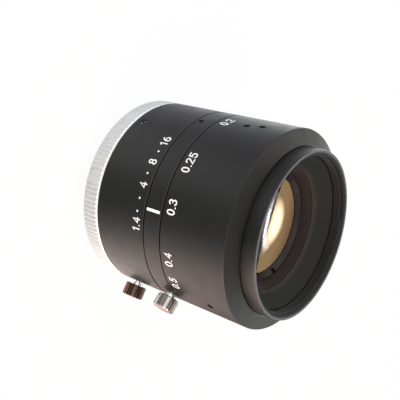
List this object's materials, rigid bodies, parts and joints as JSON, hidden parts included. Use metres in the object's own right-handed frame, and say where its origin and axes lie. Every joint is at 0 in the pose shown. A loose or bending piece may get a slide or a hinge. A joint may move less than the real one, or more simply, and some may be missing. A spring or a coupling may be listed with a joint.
{
  "type": "machine vision lens",
  "caption": "C-mount machine vision lens with turning iris and focus rings, a sliding lens unit, a bladed diaphragm and knurled lock screws.",
  "frame": {"origin": "centre of the mount's flange face, on the optical axis", "axes": "+Z along the optical axis towards the front, -Y towards the index line"},
  "size_m": [0.0534, 0.05, 0.0545],
  "materials": {
    "satin_chrome": "satin, straight knurl",
    "black_anodised": "satin black anodised",
    "matt_black": "matt black anodised",
    "gloss_black": "gloss black",
    "blade_steel": "blackened spring steel",
    "steel": "plain",
    "nickel": "bright nickel, knurled",
    "brass": "turned",
    "coated_glass": "coated, polished"
  },
  "bodies": {
    "barrel": {"c_mount": "satin_chrome", "mount_screws": "steel", "main_barrel": "black_anodised", "index_ring": "black_anodised", "index_set_screws": "steel", "guide_key": "steel", "guide_key_screws": "steel"},
    "iris_ring": {"iris_ring": "black_anodised", "iris_drive_screw": "steel"},
    "iris_lock_pad": {"iris_lock_pad": "brass"},
    "iris_lock_screw": {"iris_lock_screw": "nickel"},
    "focus_ring": {"focus_ring": "black_anodised", "helicoid_sleeve": "brass", "focus_set_screws": "steel"},
    "focus_lock_pad": {"focus_lock_pad": "brass"},
    "focus_lock_screw": {"focus_lock_screw": "nickel"},
    "lens_unit": {"front_barrel": "matt_black", "front_retaining_ring": "gloss_black", "front_element": "coated_glass", "second_element": "coated_glass", "third_element": "coated_glass", "inner_retaining_ring": "matt_black", "blade_pivot_plate": "matt_black", "rear_barrel": "matt_black", "fourth_element": "coated_glass", "fifth_element": "coated_glass", "sixth_element": "coated_glass", "stop_retaining_ring": "matt_black", "rear_retaining_ring": "gloss_black"},
    "cam_ring": {"cam_ring": "brass"},
    "blade_1": {"blade_1": "blade_steel"},
    "blade_2": {"blade_2": "blade_steel"},
    "blade_3": {"blade_3": "blade_steel"},
    "blade_4": {"blade_4": "blade_steel"},
    "blade_5": {"blade_5": "blade_steel"},
    "blade_6": {"blade_6": "blade_steel"}
  },
  "joints": [
    {"name": "focus_turn", "type": "hinge", "parent": "barrel", "child": "focus_ring", "pos_m": [0, 0, 0], "axis": [0, 0, 1], "range_deg": [-112, 68]},
    {"name": "lens_slide", "type": "slide", "parent": "barrel", "child": "lens_unit", "axis": [0, 0, 1], "range_m": [-0.00195, 0.0012]},
    {"name": "iris_turn", "type": "hinge", "parent": "barrel", "child": "iris_ring", "pos_m": [0, 0, 0], "axis": [0, 0, 1], "range_deg": [-10, 39]},
    {"name": "cam_turn", "type": "hinge", "parent": "lens_unit", "child": "cam_ring", "pos_m": [0, 0, 0], "axis": [0, 0, 1], "range_deg": [-10.1, 39.1]},
    {"name": "blade_1_turn", "type": "hinge", "parent": "lens_unit", "child": "blade_1", "pos_m": [0.0142, 0, 0.022], "axis": [0, 0, 1], "range_deg": [-5.62, 21.77]},
    {"name": "blade_2_turn", "type": "hinge", "parent": "lens_unit", "child": "blade_2", "pos_m": [0.0071, 0.0123, 0.022], "axis": [0, 0, 1], "range_deg": [-5.62, 21.77]},
    {"name": "blade_3_turn", "type": "hinge", "parent": "lens_unit", "child": "blade_3", "pos_m": [-0.0071, 0.0123, 0.022], "axis": [0, 0, 1], "range_deg": [-5.62, 21.77]},
    {"name": "blade_4_turn", "type": "hinge", "parent": "lens_unit", "child": "blade_4", "pos_m": [-0.0142, 0, 0.022], "axis": [0, 0, 1], "range_deg": [-5.62, 21.77]},
    {"name": "blade_5_turn", "type": "hinge", "parent": "lens_unit", "child": "blade_5", "pos_m": [-0.0071, -0.0123, 0.022], "axis": [0, 0, 1], "range_deg": [-5.62, 21.77]},
    {"name": "blade_6_turn", "type": "hinge", "parent": "lens_unit", "child": "blade_6", "pos_m": [0.0071, -0.0123, 0.022], "axis": [0, 0, 1], "range_deg": [-5.62, 21.77]},
    {"name": "iris_lock_travel", "type": "slide", "parent": "iris_ring", "child": "iris_lock_pad", "axis": [0.9391, -0.3437, 0], "range_m": [-0.00012778, 0.0008]},
    {"name": "iris_lock_turn", "type": "hinge", "parent": "iris_lock_pad", "child": "iris_lock_screw", "pos_m": [0.02348, -0.00859, 0.0092], "axis": [0.9391, -0.3437, 0], "range_deg": [-115.5, 720.5]},
    {"name": "focus_lock_travel", "type": "slide", "parent": "barrel", "child": "focus_lock_pad", "axis": [0.848, -0.5299, 0], "range_m": [-0.00022778, 0.0006]},
    {"name": "focus_lock_turn", "type": "hinge", "parent": "focus_lock_pad", "child": "focus_lock_screw", "pos_m": [0.0212, -0.01325, 0.0246], "axis": [0.848, -0.5299, 0], "range_deg": [-205.5, 540.5]}
  ],
  "couplings": [
    {"joint": "lens_slide", "follows": "focus_turn", "m_per_rad": 0.00099472},
    {"joint": "cam_turn", "follows": "iris_turn", "ratio": 1},
    {"joint": "blade_1_turn", "follows": "iris_turn", "ratio": 0.55696},
    {"joint": "blade_2_turn", "follows": "iris_turn", "ratio": 0.55696},
    {"joint": "blade_3_turn", "follows": "iris_turn", "ratio": 0.55696},
    {"joint": "blade_4_turn", "follows": "iris_turn", "ratio": 0.55696},
    {"joint": "blade_5_turn", "follows": "iris_turn", "ratio": 0.55696},
    {"joint": "blade_6_turn", "follows": "iris_turn", "ratio": 0.55696},
    {"joint": "iris_lock_turn", "follows": "iris_lock_travel", "rad_per_m": 15708},
    {"joint": "focus_lock_turn", "follows": "focus_lock_travel", "rad_per_m": 15708}
  ]
}
